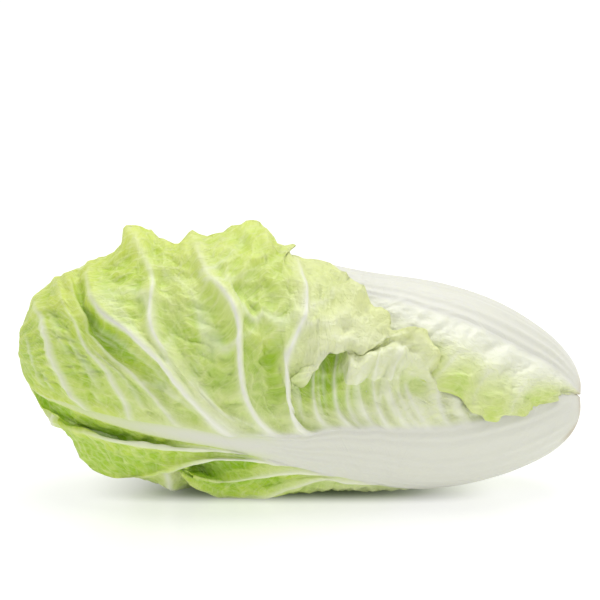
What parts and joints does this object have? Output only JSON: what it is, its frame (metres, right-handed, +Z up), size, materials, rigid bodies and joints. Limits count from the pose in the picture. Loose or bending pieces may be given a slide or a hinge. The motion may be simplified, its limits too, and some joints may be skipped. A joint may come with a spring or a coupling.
{
  "type": "napa cabbage",
  "caption": "Long barrel-shaped napa cabbage head lying on its side: crinkled pale green leaves wrapped round each other, with broad white ribs and a cut stem.",
  "frame": {"origin": "middle of the head's bounding box, on the surface it lies on", "axes": "+Z up; +X along the head, from the leaf tips to the cut butt; -Y is the side that shows the outermost leaf"},
  "size_m": [0.316, 0.1466, 0.1512],
  "materials": {
    "stem": "satin",
    "outer_leaf": "satin",
    "middle_leaf": "satin",
    "heart_leaf": "satin"
  },
  "bodies": {
    "root": {"stem_core": "stem", "outer_leaf_1": "outer_leaf", "outer_leaf_2": "outer_leaf", "outer_leaf_3": "outer_leaf", "outer_leaf_4": "outer_leaf", "outer_leaf_5": "outer_leaf", "middle_leaf_1": "middle_leaf", "middle_leaf_2": "middle_leaf", "middle_leaf_3": "middle_leaf", "middle_leaf_4": "middle_leaf", "middle_leaf_5": "middle_leaf", "middle_leaf_6": "middle_leaf", "middle_leaf_7": "middle_leaf", "middle_leaf_8": "middle_leaf", "heart_leaf_1": "heart_leaf", "heart_leaf_2": "heart_leaf", "heart_leaf_3": "heart_leaf", "heart_leaf_4": "heart_leaf", "heart_leaf_5": "heart_leaf", "heart_leaf_6": "heart_leaf", "heart_leaf_7": "heart_leaf"}
  },
  "joints": []
}
